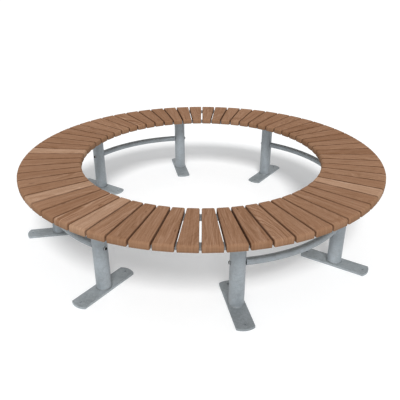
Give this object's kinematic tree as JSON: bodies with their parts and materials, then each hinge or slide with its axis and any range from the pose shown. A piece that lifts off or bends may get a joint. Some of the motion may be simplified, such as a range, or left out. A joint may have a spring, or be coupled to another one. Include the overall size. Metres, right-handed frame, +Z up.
{
  "type": "tree bench",
  "caption": "Round backless bench that encircles a tree: radial hardwood planks on a galvanised steel frame of round legs, curved braces and long bolt-down foot plates.",
  "frame": {"origin": "on the ground, at the centre of the tree space", "axes": "+Z up; the pictured front is at -Y; +X to the right in the picture"},
  "size_m": [2.1134, 2.1134, 0.45],
  "materials": {
    "timber": "oiled hardwood, fine lengthwise grain, lightly weathered, rounded edges",
    "galvanised_steel": "hot-dip galvanised, mottled grey, satin",
    "weld": "galvanised weld bead, slightly rippled",
    "dark_bolt": "dark oxide coated, satin",
    "stainless_fastener": "plain stainless steel, satin"
  },
  "bodies": {
    "root": {"arm_weld_beads": "weld", "brace_1": "galvanised_steel", "brace_2": "galvanised_steel", "brace_3": "galvanised_steel", "brace_4": "galvanised_steel", "brace_bolts": "dark_bolt", "brace_plugs": "galvanised_steel", "brace_washers": "galvanised_steel", "cross_arm_1": "galvanised_steel", "cross_arm_2": "galvanised_steel", "cross_arm_3": "galvanised_steel", "cross_arm_4": "galvanised_steel", "cross_arm_5": "galvanised_steel", "cross_arm_6": "galvanised_steel", "cross_arm_7": "galvanised_steel", "cross_arm_8": "galvanised_steel", "foot_plate_1": "galvanised_steel", "foot_plate_2": "galvanised_steel", "foot_plate_3": "galvanised_steel", "foot_plate_4": "galvanised_steel", "foot_plate_5": "galvanised_steel", "foot_plate_6": "galvanised_steel", "foot_plate_7": "galvanised_steel", "foot_plate_8": "galvanised_steel", "foot_weld_beads": "weld", "inner_rail_1": "galvanised_steel", "inner_rail_2": "galvanised_steel", "inner_rail_3": "galvanised_steel", "inner_rail_4": "galvanised_steel", "inner_rail_splices": "galvanised_steel", "leg_1": "galvanised_steel", "leg_2": "galvanised_steel", "leg_3": "galvanised_steel", "leg_4": "galvanised_steel", "leg_5": "galvanised_steel", "leg_6": "galvanised_steel", "leg_7": "galvanised_steel", "leg_8": "galvanised_steel", "leg_caps": "galvanised_steel", "outer_rail_1": "galvanised_steel", "outer_rail_2": "galvanised_steel", "outer_rail_3": "galvanised_steel", "outer_rail_4": "galvanised_steel", "outer_rail_splices": "galvanised_steel", "plank_screws_inner": "stainless_fastener", "plank_screws_outer": "stainless_fastener", "seat_planks_1": "timber", "seat_planks_2": "timber", "seat_planks_3": "timber", "seat_planks_4": "timber", "seat_planks_5": "timber", "seat_planks_6": "timber", "seat_planks_7": "timber", "seat_planks_8": "timber", "splice_bolts": "stainless_fastener"}
  },
  "joints": []
}
